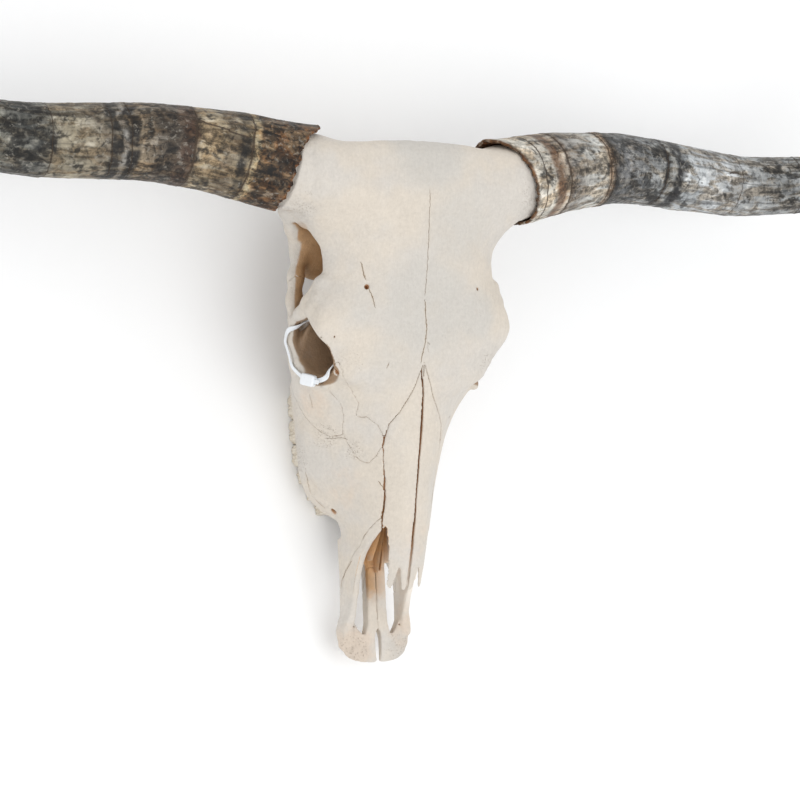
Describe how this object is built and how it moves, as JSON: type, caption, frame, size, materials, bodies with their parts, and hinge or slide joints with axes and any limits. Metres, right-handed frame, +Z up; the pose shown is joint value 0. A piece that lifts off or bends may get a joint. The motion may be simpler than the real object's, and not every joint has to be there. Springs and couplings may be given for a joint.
{
  "type": "longhorn steer skull",
  "caption": "Steer skull without its lower jaw, with parted face bones, open eye sockets, wide upturned horns and a plastic tie looped round one eye socket.",
  "frame": {"origin": "on the floor, on the skull's midline, halfway between the muzzle tip and the rearmost point of the horns", "axes": "+X to the animal's left along the spread of the horns, +Y from the muzzle to the poll, +Z up from the surface the skull lies on"},
  "size_m": [1.4606, 0.599, 0.3628],
  "materials": {
    "bone": "dry, matt, bleached bone",
    "horn": "weathered horn, grey and brown",
    "tie": "smooth white nylon"
  },
  "bodies": {
    "root": {"cranium": "bone", "nasal_left": "bone", "nasal_right": "bone", "premaxilla_left": "bone", "premaxilla_right": "bone", "maxilla_left": "bone", "maxilla_right": "bone", "lacrimal_left": "bone", "lacrimal_right": "bone", "zygomatic_left": "bone", "zygomatic_right": "bone", "horn_left": "horn", "horn_right": "horn", "cable_tie": "tie"}
  },
  "joints": []
}
